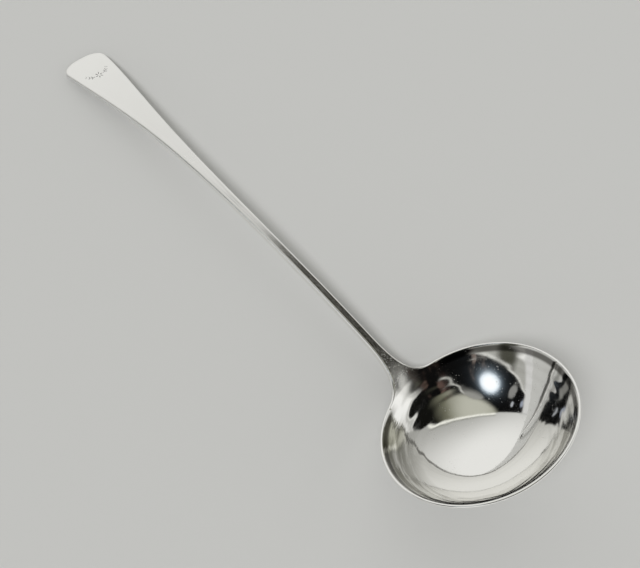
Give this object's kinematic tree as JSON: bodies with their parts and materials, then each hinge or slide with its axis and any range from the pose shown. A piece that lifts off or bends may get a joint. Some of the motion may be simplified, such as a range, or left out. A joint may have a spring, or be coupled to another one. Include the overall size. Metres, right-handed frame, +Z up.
{
  "type": "soup ladle",
  "caption": "Soup ladle in one piece of polished silver: a wide oval bowl with a rounded rim and a long curved handle that thins to a stem and flares out to a rounded end.",
  "frame": {"origin": "on the ground, below the middle of the ladle's length and width as it lies at rest on the back of its bowl and its handle's end", "axes": "+Z up, +X along the ladle from the bowl to the handle's end, +Y across it"},
  "size_m": [0.3244, 0.104, 0.0635],
  "materials": {
    "silver": "polished silver: mirror-bright bowl, softer satin handle with fine scratches"
  },
  "bodies": {
    "root": {"ladle": "silver"}
  },
  "joints": []
}
